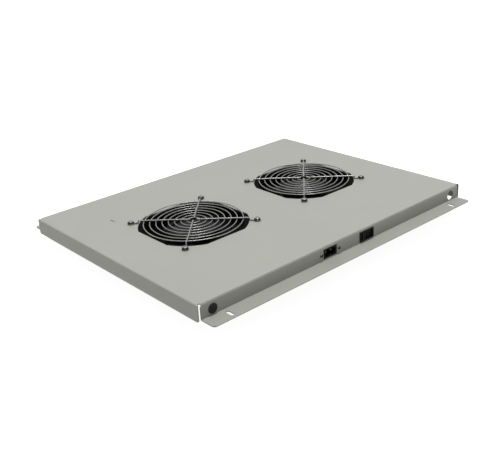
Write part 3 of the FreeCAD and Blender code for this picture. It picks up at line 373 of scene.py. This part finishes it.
def make_finishes():
    """Blender material for every material slot of the record."""
    return {
        # The powder coat carries painted shade and light on the pan's walls, flanges and rims.
        "powder_coated_steel": powder_coat("powder_coat", (0.50, 0.505, 0.455)),
        "fan_frame_plastic": moulded_plastic(
            "frame_plastic", (0.004, 0.004, 0.004), 0.5, 0.65, gloss=0.015),
        "impeller_plastic": moulded_plastic(
            "impeller_plastic", (0.004, 0.004, 0.0045), 0.4, 0.55, gloss=0.05),
        "blackened_steel": metal("blackened_steel", (0.022, 0.022, 0.024), 0.4, 0.55),
        "bracket_steel": metal("bracket_black", (0.02, 0.02, 0.021), 0.45, 0.6),
        "rivet_steel": metal("rivet_black", (0.03, 0.03, 0.03), 0.4, 0.55),
        "core_steel": laminations("laminated_steel", (0.3, 0.29, 0.28)),
        "winding_tape": moulded_plastic("winding_tape", (0.35, 0.2, 0.06), 0.4, 0.6, 900),
        "bearing_steel": metal("bearing_steel", (0.6, 0.6, 0.6), 0.15, 0.3),
        "spring_steel": metal("spring_steel", (0.3, 0.3, 0.31), 0.3, 0.45),
        "cap_plastic": moulded_plastic("cap_plastic", (0.02, 0.02, 0.02), 0.4, 0.55),
        "plated_brass": metal("plated_brass", (0.14, 0.13, 0.1), 0.3, 0.45),
        # The guards' wire carries painted shade in its eyelets.
        "guard_chrome": metal(
            "bright_wire", (0.37, 0.37, 0.36), 0.34, 0.48, 1200, eyelet_painted_shade),
        # The guards' screws carry painted highlights and painted shade.
        "zinc_screw_steel": metal(
            "zinc_plate", (0.3, 0.3, 0.28), 0.28, 0.42, shade=fan_screw_painted_light),
        # The inlet's screws carry painted shade in their drives.
        "black_screw_steel": metal(
            "black_oxide", (0.02, 0.02, 0.018), 0.4, 0.55, shade=inlet_screw_painted_shade),
        "connector_plastic": moulded_plastic(
            "connector_plastic", (0.008, 0.008, 0.006), 0.5, 0.65, gloss=0.1),
        "rocker_plastic": moulded_plastic(
            "rocker_plastic", (0.006, 0.006, 0.005), 0.3, 0.42, gloss=0.06),
        "plug_plastic": moulded_plastic("plug_plastic", (0.012, 0.012, 0.01), 0.45, 0.6),
    }


def dress_nodes(finishes):
    """Give every CAD node the finish of its slot."""
    for entry in frame["record"]["subparts"]:
        mesh = nodes[entry["node"]].data
        mesh.materials.clear()
        mesh.materials.append(finishes[entry["material_slot"]])


finishes = make_finishes()
dress_nodes(finishes)

# ---------------------------------------------------------------- fan guards


def make_spoke_ends(side, finish):
    """Cut ends of a guard's four spokes, which reach in past its smallest ring."""
    middle = centre_of(f"fan_guard_{side}")
    data = bpy.data.curves.new(f"spoke_ends_{side}", "CURVE")
    data.dimensions = "3D"
    data.bevel_depth = SPOKE_RADIUS
    data.bevel_resolution = 3
    data.use_fill_caps = True
    for right, back in CORNERS:
        wire = data.splines.new("POLY")
        wire.points.add(1)
        for point, reach in zip(wire.points, (SPOKE_START, SPOKE_START - SPOKE_STUB)):
            out = reach / math.sqrt(2)
            point.co = (middle.x + right * out, middle.y + back * out, SPOKE_PLANE, 1)
    data.materials.append(finish)
    piece = bpy.data.objects.new(f"spoke_ends_{side}", data)
    bpy.context.scene.collection.objects.link(piece)
    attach(piece, "tray")


for side in SIDES:
    make_spoke_ends(side, finishes["guard_chrome"])


# ---------------------------------------------------------------- floor, world and lights

WORLD_STRENGTH = 0.26
# Reflections of the world dim to this strength between two heights of the dome.
OVERHEAD_STRENGTH, DOME_START, DOME_END = 0.3, 0.45, 0.75
FLOOR_SIZE, FLOOR_COLOUR, FLOOR_GLOW = 30.0, 0.5, 0.92


def light_path_mix(tree, seen, unseen):
    """Mix of two shaders: the first for camera, glossy and transmission rays."""
    path = tree.nodes.new("ShaderNodeLightPath").outputs
    direct = combined(tree, "MAXIMUM", path["Is Camera Ray"], path["Is Glossy Ray"])
    either = combined(tree, "MAXIMUM", direct, path["Is Transmission Ray"])
    mix = tree.nodes.new("ShaderNodeMixShader")
    tree.links.new(either, mix.inputs["Fac"])
    tree.links.new(unseen, mix.inputs[1])
    tree.links.new(seen, mix.inputs[2])
    return mix.outputs[0]


def make_world(strength):
    """White where it is seen, dimmer overhead in reflections, a soft even light elsewhere."""
    world = bpy.data.worlds.new("studio")
    bpy.context.scene.world = world
    world.use_nodes = True
    tree = world.node_tree
    tree.nodes.clear()
    place = tree.nodes.new("ShaderNodeSeparateXYZ")
    tree.links.new(tree.nodes.new("ShaderNodeTexCoord").outputs["Generated"], place.inputs[0])
    seen = add(tree, "ShaderNodeBackground", Color=(1, 1, 1, 1))
    dome = between(tree, place.outputs["Z"], DOME_START, DOME_END, 1.0, OVERHEAD_STRENGTH)
    direct = tree.nodes.new("ShaderNodeLightPath").outputs["Is Camera Ray"]
    tree.links.new(blended(tree, direct, dome, 1.0), seen.inputs["Strength"])
    unseen = add(tree, "ShaderNodeBackground", Color=(1, 1, 1, 1), Strength=strength)
    out = tree.nodes.new("ShaderNodeOutputWorld")
    mixed = light_path_mix(tree, seen.outputs[0], unseen.outputs[0])
    tree.links.new(mixed, out.inputs["Surface"])


def make_floor(size, colour, glow):
    """Pale floor that keeps a faint shadow and is clear from below."""
    half = size / 2
    mesh = bpy.data.meshes.new("floor")
    corners = [(-half, -half, 0), (half, -half, 0), (half, half, 0), (-half, half, 0)]
    mesh.from_pydata(corners, [], [(0, 1, 2, 3)])
    floor = bpy.data.objects.new("floor", mesh)
    floor.location.z = cad_low.z
    bpy.context.scene.collection.objects.link(floor)
    material = bpy.data.materials.new("floor")
    material.use_nodes = True
    tree = material.node_tree
    tree.nodes.clear()
    matt = add(tree, "ShaderNodeBsdfDiffuse")
    light = add(tree, "ShaderNodeEmission")
    matt.inputs["Color"].default_value = (colour, colour, colour, 1)
    light.inputs["Color"].default_value = (glow, glow, glow, 1)
    both = tree.nodes.new("ShaderNodeAddShader")
    tree.links.new(matt.outputs[0], both.inputs[0])
    tree.links.new(light.outputs[0], both.inputs[1])
    out = tree.nodes.new("ShaderNodeOutputMaterial")
    mixed = light_path_mix(tree, both.outputs[0], matt.outputs[0])
    one_sided = tree.nodes.new("ShaderNodeMixShader")
    below = tree.nodes.new("ShaderNodeNewGeometry").outputs["Backfacing"]
    clear = tree.nodes.new("ShaderNodeBsdfTransparent")
    tree.links.new(below, one_sided.inputs["Fac"])
    tree.links.new(mixed, one_sided.inputs[1])
    tree.links.new(clear.outputs[0], one_sided.inputs[2])
    tree.links.new(one_sided.outputs[0], out.inputs["Surface"])
    mesh.materials.append(material)


def make_lamp(name, azimuth, elevation, distance, size, power):
    """Square area lamp that shines on the middle of the object."""
    data = bpy.data.lights.new(name, "AREA")
    data.shape = "SQUARE"
    data.size = size
    data.energy = power
    lamp = bpy.data.objects.new(name, data)
    around, above = math.radians(azimuth), math.radians(elevation)
    back = Vector((
        math.sin(around) * math.cos(above), -math.cos(around) * math.cos(above), math.sin(above)))
    lamp.location = back * distance
    lamp.rotation_mode = "QUATERNION"
    lamp.rotation_quaternion = back.to_track_quat("Z", "Y")
    bpy.context.scene.collection.objects.link(lamp)


make_world(WORLD_STRENGTH)
make_floor(FLOOR_SIZE, FLOOR_COLOUR, FLOOR_GLOW)
make_lamp("overhead", 10, 84, 2.4, 0.5, 33.5)
make_lamp("left", -95, 25, 2.4, 1.2, 2.2)
bpy.context.scene.view_settings.view_transform = "Standard"
